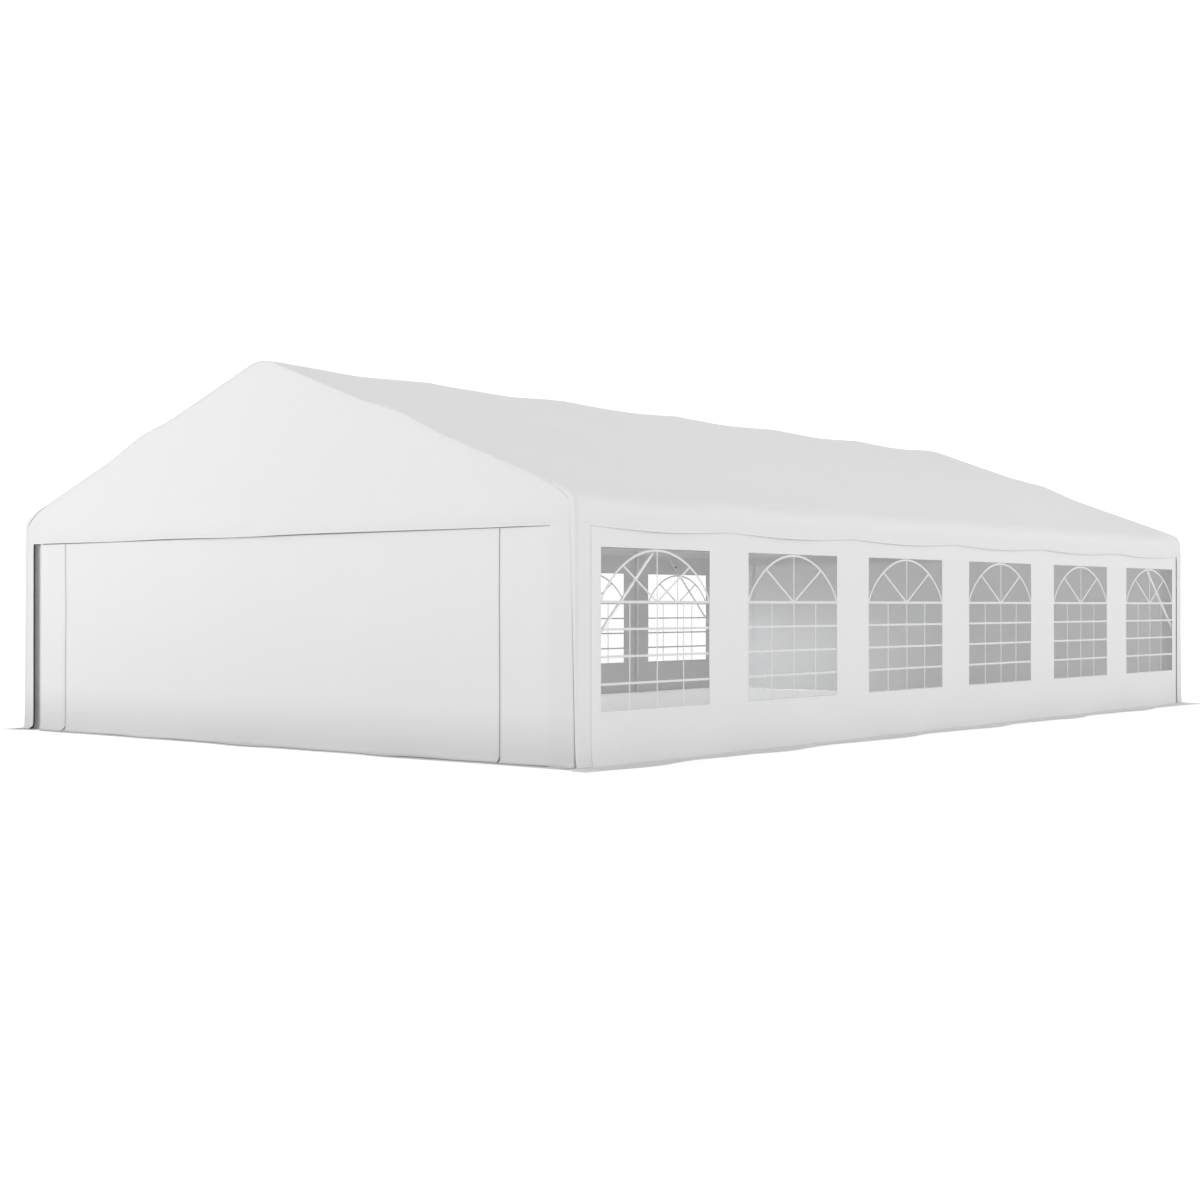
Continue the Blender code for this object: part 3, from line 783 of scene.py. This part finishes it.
# The side walls: one long sheet a side, hung from the eave under the valance, with an opening for each
# window and a foot that rests on the ground. Their cloth is denser than the cover's and lets less light in.
WINDOW_WIDTH = 1.43
WINDOW_BOTTOM = 0.425
WINDOW_TOP = 1.694
WINDOW_PLACES = tuple(BAY * (number + 0.5) - END_Y for number in range(BAYS))
WALL_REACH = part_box("side_wall_right")[1].y
WALL_WHITE = (0.742, 0.742, 0.747, 1.0)
WALL_SHARE = 0.09
WALL_GAP = 0.0002
WALL_WAVE = 0.0015
CORNER_PUSH = 0.0035

# 0.02 is a faint painted shade at the wall's foot.
wall_cloth = cloth_finish("wall_cloth", WALL_WHITE, 0.02, WALL_SHARE, (0.012, 1.93))


def wall_out(y, z):
    """How far the long wall stands out: at the foot, in soft waves, and under the near corner's strip."""
    calm = clamp(z / 0.2) * smooth((WALL_TOP - z) / 0.2) * smooth((STRIP_EDGE - np.abs(y)) / 0.2)
    near = CORNER_PUSH * smooth((-y - 5.72) / 0.1) * clamp((WALL_TOP - z) / 0.2)
    return near + foot_lean(y, z) + WALL_WAVE * calm * ripple(32, 0.9, y, z)


y_lines = [np.linspace(-WALL_REACH, WINDOW_PLACES[0] - WINDOW_WIDTH / 2, 5)]
for place in WINDOW_PLACES:
    y_lines.append(np.linspace(place - WINDOW_WIDTH / 2, place + WINDOW_WIDTH / 2, 21)[1:])
    following = place + BAY - WINDOW_WIDTH / 2 if place < WINDOW_PLACES[-1] else WALL_REACH
    y_lines.append(np.linspace(place + WINDOW_WIDTH / 2, following, 9)[1:])
y_line = np.hstack(y_lines)
z_lines = [
    FOOT_HEIGHT * np.linspace(0.0, 1.0, 17)[:-1] ** 1.5,
    np.linspace(FOOT_HEIGHT, WINDOW_BOTTOM, 4)[:-1],
    np.linspace(WINDOW_BOTTOM, WINDOW_TOP, 19),
    np.linspace(WINDOW_TOP, WALL_TOP, 6)[1:],
]
z_line = np.hstack(z_lines)
mid_y = 0.5 * (y_line[:-1] + y_line[1:])
mid_z = 0.5 * (z_line[:-1] + z_line[1:])
near_window = np.min(np.abs(mid_y[:, None] - WINDOW_PLACES), axis=1) < WINDOW_WIDTH / 2
keep_wall = ~(near_window & ((mid_z > WINDOW_BOTTOM) & (mid_z < WINDOW_TOP))[:, None])
wall_z, wall_y = np.meshgrid(z_line, y_line, indexing="ij")


def wall_grid(side, depth, y, z, *grids):
    """Points of a long wall, so many metres outside its plane, and their places on the flat cloth."""
    points = np.stack([HALF_WIDTH + depth + wall_out(y, z), y, z], -1)
    return turned((side, 1.0, 1.0), points, np.stack([y + END_Y, z], -1), *grids)


for side_name, side in SIDES:
    points, flat, keep = wall_grid(side, -WALL_GAP, wall_y, wall_z, keep_wall)
    name = f"side_cloth_{side_name}"
    wall = add_cloth(name, points, flat, wall_cloth, [f"side_wall_{side_name}"], keep=keep)


# The windows: clear flexible film welded behind each opening, with a pattern of bars printed in white on
# its outer face, and a band of cloth round the opening. The film has a faint haze, and on the right side it
# is whiter with a painted reflection, as of film that faces the light, most near the foot of windows 2 and
# 3.
FILM = 0.0008
FILM_DEPTH = CLOTH + 0.0006
PRINT_DEPTH = CLOTH + 0.0004
FILM_WHITE = (0.78, 0.79, 0.80, 1.0)
# A grey line along the foot of each window opening: its width and its grey.
OPENING_FOOT_LINE = 0.008
OPENING_FOOT_GREY = (0.50, 0.50, 0.505, 1.0)
FILM_LAP = 0.016
BAR = 0.019
PRINT = 0.0005
TRANSOM = 1.271
ROWS = 4
ARCH_RISE = 0.41
TRANSOM_BAR = 1.15 * BAR
POST_BAR = 0.7 * BAR
SPOKE_BAR = 0.9 * BAR
SPOKE_OUT = 0.62
BAND = 0.010
BAND_RISE = 0.0007
POST_RISE = 0.0008
OPENING_FOOT_RISE = 0.0009
BAR_WHITE = (0.62, 0.62, 0.625, 1.0)


def clear_film(name):
    """Clear film in faint waves and haze; on the right a painted reflection, most low in windows 2 and 3.
    """
    material, shade, shader = start_material(name)
    place = shade.place()
    along = place.axis("Y")
    haze = place.noise(3.0, 3.0)
    # The patch low in windows 2 and 3 where the painted reflection is strongest.
    painted_glare = along.rise(-4.2, -3.9) * (1 - along.rise(-4.0, 0.4)) * (1 - place.axis("Z").rise(0.8, 1.5))
    looks = {
        "Base Color": FILM_WHITE,
        "Roughness": 0.10 + 0.10 * haze,
        # The right side's extra alpha and the low patch are painted reflection.
        "Alpha": 0.025 + 0.03 * haze + place.axis("X").rise(-1.0, 1.0) * (0.053 + 0.235 * painted_glare),
        "Normal": place.noise(2.0).bumped(0.01, 0.12),
    }
    set_inputs(shader, looks)
    return material


def mottled(name, colour, marks, scale, strength, roughness):
    """A smooth finish with faint marks of another colour."""
    material, shade, shader = start_material(name)
    tint = strength * shade.place().noise(scale, 3.0)
    set_inputs(shader, {"Base Color": tint.blended(colour, marks), "Roughness": roughness})
    return material


window_film = clear_film("window_film")
bar_print = mottled("white_print", BAR_WHITE, SOIL_AND_SHADE, 40.0, 0.12, 0.4)
opening_foot_finish = mottled("opening_foot_grey", OPENING_FOOT_GREY, CLOTH_WHITE, 60.0, 0.3, 0.35)


def strip_along(line, width, height):
    """A flat strip that follows a line of (y, z) points, as (vertices, faces).

    Each point gives a ring of four corners: half the width to either side of the line, on the cloth and at
    height above it. The first coordinate is the height, so that the cloth's own shape can be added.
    """
    heights = np.broadcast_to(np.array([0.0, height, height, 0.0])[:, None], (len(line), 4, 1))
    across = 0.5 * width * np.array([-1.0, -1.0, 1.0, 1.0])[:, None] * outward(line)[:, None]
    vertices = np.concatenate([heights, line[:, None] + across], -1)
    return vertices.reshape(-1, 3), ring_faces(len(line), 4)


def straight_strip(start, end, width, height, count=12):
    """A straight strip from start to end, in count points."""
    start, end = np.array(start), np.array(end)
    return strip_along(start + np.linspace(0.0, 1.0, count)[:, None] * (end - start), width, height)


def window_pattern(centre):
    """The strips of the printed bars of one window, each crossing layer a little higher than the last."""
    half = WINDOW_WIDTH / 2 - 0.004
    low, high = centre - half, centre + half
    strips = [straight_strip((low, TRANSOM), (high, TRANSOM), TRANSOM_BAR, PRINT)]
    for row in range(1, ROWS):
        z = TRANSOM - row * (TRANSOM - WINDOW_BOTTOM) / ROWS
        strips.append(straight_strip((low, z), (high, z), BAR, PRINT))
    for share, top in ((-0.5, TRANSOM), (0.0, TRANSOM + ARCH_RISE), (0.5, TRANSOM)):
        y = centre + share * half
        strips.append(straight_strip((y, WINDOW_BOTTOM), (y, top), POST_BAR, 1.2 * PRINT))
    out = np.array([-SPOKE_OUT, SPOKE_OUT, *np.sin(np.linspace(-math.pi / 2, math.pi / 2, 49))])
    bow = np.column_stack([centre + out * half, TRANSOM + ARCH_RISE * (1 - out * out) ** 0.75])
    for tip in bow[:2]:
        strips.append(straight_strip((centre, TRANSOM), tip, SPOKE_BAR, 1.4 * PRINT))
    return strips + [strip_along(bow[2:], BAR, 1.6 * PRINT)]


def window_border(centre):
    """The strips of the band of cloth round one opening."""
    wide = WINDOW_WIDTH / 2 + BAND
    out = WINDOW_WIDTH / 2 + BAND / 2
    strips = []
    for z in (WINDOW_BOTTOM - BAND / 2, WINDOW_TOP + BAND / 2):
        strips.append(straight_strip((centre - wide, z), (centre + wide, z), BAND, BAND_RISE, 20))
    for y in (centre - out, centre + out):
        low, high = (y, WINDOW_BOTTOM - BAND), (y, WINDOW_TOP + BAND)
        strips.append(straight_strip(low, high, BAND, POST_RISE, 20))
    return strips


def backwards(faces, mirrored):
    """Faces whose corners run the other way round where the shape is mirrored."""
    return [group[:, ::-1] for group in faces] if mirrored else faces


def set_on_wall(shape, side, depth):
    """Puts a shape of (height, y, z) on the long wall, so many metres outside its plane."""
    vertices, faces = shape
    height, y, z = vertices.T
    x = side * (HALF_WIDTH + depth + height + wall_out(y, z))
    return np.column_stack([x, y, z]), backwards(faces, side < 0)


for side_name, side in SIDES:
    for number, centre in enumerate(WINDOW_PLACES, 1):
        label = f"{side_name}_{number}"
        reach = WINDOW_WIDTH / 2 + FILM_LAP
        rows = np.linspace(WINDOW_BOTTOM - FILM_LAP, WINDOW_TOP + FILM_LAP, 23)
        film_z, film_y = np.meshgrid(rows, np.linspace(centre - reach, centre + reach, 25), indexing="ij")
        points, flat = wall_grid(side, -FILM_DEPTH, film_y, film_z)
        bars = [set_on_wall(strip, side, -PRINT_DEPTH) for strip in window_pattern(centre)]
        bar_piece = add_piece(f"window_bars_{label}", bars, bar_print)
        name = f"window_film_{label}"
        nodes = [f"window_{label}"]
        film = add_cloth(name, points, flat, window_film, nodes, thickness=FILM)
        size = (2 * reach, WINDOW_TOP - WINDOW_BOTTOM + 2 * FILM_LAP)
        border = [set_on_wall(strip, side, -WALL_GAP) for strip in window_border(centre)]
        add_piece(f"window_band_{label}", border, wall_cloth)
        # A grey line along the foot of the opening, darker than the film and the cloth round it.
        ends = [(centre + share * WINDOW_WIDTH / 2, WINDOW_BOTTOM + OPENING_FOOT_LINE / 2) for share in (-1, 1)]
        foot_line = set_on_wall(straight_strip(*ends, OPENING_FOOT_LINE, OPENING_FOOT_RISE, 20), side, -PRINT_DEPTH)
        add_piece(f"window_foot_line_{label}", [foot_line], opening_foot_finish)


# The ground flaps: a strip along the foot of each long wall, spread out on the ground to keep the wind and
# rain out. It lies in low waves, and its outer edge wanders.
FLAP_WIDTH = 0.2
FLAP_OVERHANG = 0.1
FLAP_WAVE = 1.92
FLAP_SHIFT = 7.0
FLAP_RISE = 0.012
# The flap's grey, darker than the walls' cloth, is painted shade on the flap that lies on the ground, and
# 0.06 below adds painted shade at its foot.
FLAP_SHADE_GREY = (0.74, 0.74, 0.735, 1.0)

flap_cloth = cloth_finish("flap_cloth", FLAP_SHADE_GREY, 0.06, 0.15, (0.012,))
flap_y = np.linspace(-END_Y - FLAP_OVERHANG, END_Y + FLAP_OVERHANG, 361)[:, None]
flap_share = np.linspace(0.0, 1.0, 13)
for side_name, side in SIDES:
    swing = np.cos(TURN * (side * flap_y + 1.6) / FLAP_WAVE)
    sharp = np.cos(2 * TURN * (side * flap_y + 1.45) / FLAP_WAVE)
    width = FLAP_WIDTH * (0.98 + 0.20 * swing + 0.06 * sharp + 0.03 * ripple(41, 0.5, flap_y))
    lift = 0.002 + np.clip(ripple(42 + side, 0.7, flap_y, flap_share * 0.2), 0, 2) * 0.006 * flap_share
    lift = lift + FLAP_RISE * (1 - flap_share) ** 4
    flap_x = HALF_WIDTH + 0.002 + flap_share * width
    points = np.stack(np.broadcast_arrays(flap_x, flap_y, lift + CLOTH), -1)
    flat = np.stack(np.broadcast_arrays(flap_y + FLAP_SHIFT, flap_share * FLAP_WIDTH), -1)
    points, flat = turned((side, 1.0, 1.0), points, flat)
    name = f"ground_flap_cloth_{side_name}"
    flap = add_cloth(name, points, flat, flap_cloth, [f"ground_flap_{side_name}"])
    size = (FLAP_WIDTH, 2 * (END_Y + FLAP_OVERHANG))


# The end walls: a wide door between two zips and a narrow panel beside each corner, hung under the gable's
# hem. The left panel slips in behind the corner leg, beside a black tape that is painted shade in that
# crevice. Grey tapes under the gable's hem, beside the right corner strip, along the strips' free edges and
# under the feet are painted shadow lines. The feet curve out on the ground.
ZIP_LEFT = -2.92
ZIP_RIGHT = 2.815
ZIP_GAP = 0.004
ZIP_TAPE = 0.013
ZIP_HEM = 0.014
TOOTH_PITCH = 0.005
TOOTH = np.array([0.0016, 0.0032, 0.0028])
STEP_START = 3.3
STEP_END = 3.44
STEP_DEPTH = 0.0446
LEFT_PANEL_END = 3.555
RIGHT_PANEL_END = 3.54
ZIP_GREY = (0.09, 0.09, 0.092, 1.0)
# The grey of the tapes that are painted shadow lines: under the gable's hem, beside the right corner strip,
# along the strips' free edges and under the feet.
HEM_SHADE_GREY = (0.25, 0.25, 0.255, 1.0)
SHADOW_TAPE_WIDTH = 0.025
FOOT_WAVE = 0.004
# The black of the left corner tape: painted shade in the crevice behind the corner strip.
SHADOW_BLACK = (0.02, 0.02, 0.021, 1.0)
EDGE_SHADOW_TAPE = 0.012
EDGE_SHOWN = 0.0006
ZIP_FLAP = 0.06
HEM_SHADOW_TAPE = 0.054
FOOT_SHADOW_CORD = 0.008
ZIP_BACK = 0.0022
FLAP_BACK = 0.0045
CORD_BACK = 0.006


def plain_weave(name, colour, roughness, worn=0.15):
    """A dense ribbed tape: fine ribs across it, whose tops are worn to white by a small share."""
    material, shade, shader = start_material(name)
    waves = {"Vector": shade.place(), "Scale": 160.0}
    ribs = shade.node("TexWave", waves, "Fac", bands_direction="Z")
    looks = {
        "Base Color": (worn * ribs).blended(colour, CLOTH_WHITE),
        "Roughness": roughness,
        "Normal": ribs.bumped(0.0003, 0.4),
    }
    set_inputs(shader, looks)
    return material


def end_place(x, z):
    """The y of the front walls' outer face. The left panel steps back, and the right strip pushes in."""
    step = smooth((-x - STEP_START) / (STEP_END - STEP_START))
    pushed = 0.005 * smooth((x - 3.0) / 0.3) - STEP_DEPTH * step
    return -END_Y - end_out(x, z) * (1 - step) - pushed


def strip_place(x, z):
    """The y of the front corner strips' outer face."""
    return -COVER_Y


def on_end(shape, end, back, face=end_place):
    """Puts a shape of (height, x, z) on an end wall, so many metres behind its face."""
    vertices, faces = shape
    high, x, z = vertices.T
    points = np.column_stack([x, -end * (face(x, z) + back - high), z])
    return points, backwards(faces, end > 0)


def foot_rise(x):
    """How far the foot of an end wall rises or dips."""
    return FOOT_WAVE * ripple(54, 0.8, x)


zip_finish = plain_weave("zip_tape", ZIP_GREY, 0.6)
# The grey tapes are painted shadow lines, and the black corner tape is painted shade.
shade_tape_finish = plain_weave("hem_shadow_tape", HEM_SHADE_GREY, 0.8)
black_shadow_finish = plain_weave("corner_shadow_tape", SHADOW_BLACK, 0.7, worn=0.02)
toe_z = TOE_LIFT + TOE_HEIGHT * (1 - np.sin(np.linspace(math.pi / 2, 0.0, 9)))
panel_z = np.hstack([toe_z[:-1], np.linspace(toe_z[-1], 0.4, 8)[:-1], np.linspace(0.4, WALL_TOP, 22)])
upright = np.hstack([toe_z[1:-1], np.linspace(toe_z[-1], WALL_TOP - 0.004, 60)])
straight = np.column_stack([0 * upright, upright])
tooth_z = np.arange(0.062, WALL_TOP - 0.01, TOOTH_PITCH)
tooth_shift = 0.0011 * (1 - 2 * (np.arange(len(tooth_z)) % 2))
for end_name, end in ENDS:
    for part_name, x_low, x_high, count in (
        ("door", ZIP_LEFT + ZIP_GAP, ZIP_RIGHT - ZIP_GAP, 121),
        ("left_panel", -LEFT_PANEL_END, ZIP_LEFT - ZIP_GAP, 45),
        ("right_panel", ZIP_RIGHT + ZIP_GAP, RIGHT_PANEL_END, 31),
    ):
        grid_z, grid_x = np.meshgrid(panel_z, np.linspace(x_low, x_high, count), indexing="ij")
        points = np.stack([grid_x, end_place(grid_x, grid_z), grid_z], -1)
        points[..., 2] += foot_rise(grid_x) * clamp(1 - grid_z / 0.1)
        points, flat = turned((1.0, -end, 1.0), points, np.stack([grid_x + FLAT_SHIFT, grid_z], -1))
        node = f"{end_name}_{part_name}"
        cloth = add_cloth(node + "_cloth", points, flat, end_cloth, [node])
    for side_name, x in (("left", ZIP_LEFT), ("right", ZIP_RIGHT)):
        corners, (sides,) = block(-0.5 * TOOTH, 0.5 * TOOTH)
        centres = np.column_stack([np.full(len(tooth_z), 0.0012), x + tooth_shift, tooth_z])
        teeth = (centres[:, None] + corners).reshape(-1, 3)
        tooth_faces = (sides + len(corners) * np.arange(len(tooth_z))[:, None, None]).reshape(-1, 4)
        shapes = [
            strip_along(straight + (x, 0.0), ZIP_TAPE, 0.0008),
            (teeth, [tooth_faces]),
            block((0.0021, x - 0.0028, 0.035), (0.0036, x + 0.0028, 0.056)),
            block((0.0034, x - 0.006, 0.034), (0.0050, x + 0.006, 0.057)),
            block((0.0050, x - 0.004, 0.016), (0.0066, x + 0.004, 0.048)),
        ]
        shapes = [on_end(shape, end, ZIP_BACK) for shape in shapes]
        add_piece(f"{end_name}_zip_{side_name}", shapes, zip_finish)
        hems = [on_end(strip_along(straight + (x, 0.0), ZIP_FLAP, 0.0008), end, FLAP_BACK)]
        for way in (-1, 1):
            line = straight + (x + way * (ZIP_GAP + ZIP_HEM / 2), 0.0)
            hems.append(on_end(strip_along(line, ZIP_HEM, 0.0011), end, 0.0002))
        add_piece(f"{end_name}_zip_hem_{side_name}", hems, end_cloth)
    # A grey tape just under the gable's hem: a painted shadow line under the hem.
    tape_z = HEM_HEIGHT + np.linspace(0.016, 0.021, 90)
    line = np.column_stack([np.linspace(-left_start, right_start, 90), tape_z])
    tape = on_end(strip_along(line[::-1], HEM_SHADOW_TAPE, 0.0012), end, -0.0001)
    add_piece(f"{end_name}_hem_shadow_tape", [tape], shade_tape_finish)
    # The corner tapes: black at the left, painted shade in the crevice behind the strip; grey at the right,
    # painted shade in the parting between the strip and the cover's lap.
    for side_name, side, tape_x, back, finish in (
        ("left", -1, 0.0075 - inner, 0.0035, black_shadow_finish),
        ("right", 1, covered - 0.006, 0.0058, shade_tape_finish),
    ):
        tape = on_end(strip_along(np.hstack([tape_x, strip_z]), SHADOW_TAPE_WIDTH, 0.001), end, back, strip_place)
        add_piece(f"{end_name}_{side_name}_corner_shadow_tape", [tape], finish)
        # A grey tape showing from under each strip's free edge on the long wall: a painted shadow line.
        line = np.column_stack([np.full(len(strip_z), end * (STRIP_EDGE - EDGE_SHOWN)), strip_z[:, 0]])
        edge_shadow_tape = set_on_wall(strip_along(line, EDGE_SHADOW_TAPE, 0.0006), side, 0.0002)
        add_piece(f"{end_name}_{side_name}_edge_shadow_tape", [edge_shadow_tape], shade_tape_finish)
    # A grey cord under the toe of the foot: a painted shadow line where the toe lifts off the ground.
    x = np.linspace(-STEP_START, RIGHT_PANEL_END - 0.03, 200)
    line = np.column_stack([x, TOE_LIFT - 0.0055 + foot_rise(x)])
    cord = on_end(strip_along(line[::-1], FOOT_SHADOW_CORD, 0.003), end, CORD_BACK)
    add_piece(f"{end_name}_foot_shadow_cord", [cord], shade_tape_finish)


# The stage: a plain pale floor without end and soft studio light. The walls get a little more light than
# the roof, as in a studio whose ceiling is darker than its sides, and one light stands behind the tent.
FLOOR_SIZE = 120.0
FLOOR_GLOW = 0.25
FLOOR_WHITE = (0.88, 0.88, 0.88, 1.0)
WHITE = (1.0, 1.0, 1.0, 1.0)
SKY = 1.15
SKY_DIM = 0.24

floor_mesh = bpy.data.meshes.new("floor")
edge = FLOOR_SIZE / 2
corners = [(-edge, -edge, 0.0), (edge, -edge, 0.0), (edge, edge, 0.0), (-edge, edge, 0.0)]
floor_mesh.from_pydata(corners, [], [(0, 1, 2, 3)])
floor_material, floor_start, floor_shader = start_material("floor")
is_seen = floor_start.node("LightPath", output="Is Camera Ray")
floor_looks = {
    "Base Color": FLOOR_WHITE,
    "Roughness": 1.0,
    "Specular IOR Level": 0.0,
    "Emission Color": WHITE,
    "Emission Strength": FLOOR_GLOW * (0.6 + 0.4 * is_seen),
}
set_inputs(floor_shader, floor_looks)
floor_mesh.materials.append(floor_material)
put("floor", floor_mesh)

world = bpy.data.worlds.new("studio")
bpy.context.scene.world = world
world.use_nodes = True
sky = Shade(world.node_tree)
dimmed = SKY * (1 - SKY_DIM * sky.place("Generated").axis("Z").rise(0.05, 0.95))
lit = sky.node("Background", {"Color": WHITE, "Strength": dimmed})
seen = sky.node("Background", {"Color": WHITE, "Strength": SKY})
is_seen = sky.node("LightPath", output="Is Camera Ray")
backdrop = sky.node("MixShader", {0: is_seen, 1: lit, 2: seen})
set_inputs(world.node_tree.nodes["World Output"], {"Surface": backdrop})

for name, place, aim, size, power in (
    ("key", (-11.0, -18.0, 9.0), (-2.0, -6.0, 3.0), 8.0, 800.0),
    ("side", (20.0, 4.0, 8.0), (3.6, 1.0, 1.5), 9.0, 520.0),
    ("back", (-3.0, 14.0, 3.0), (-1.8, 6.0, 1.0), 4.0, 70.0),
):
    light = put(name, bpy.data.lights.new(name, "AREA"))
    light.data.shape = "SQUARE"
    light.data.size = size
    light.data.energy = power
    light.location = place
    look = np.subtract(aim, place)
    tilt = math.atan2(math.hypot(look[0], look[1]), -look[2])
    light.rotation_euler = (tilt, 0.0, math.atan2(look[1], look[0]) - math.pi / 2)
    light.visible_camera = False

bpy.context.scene.view_settings.view_transform = "Standard"
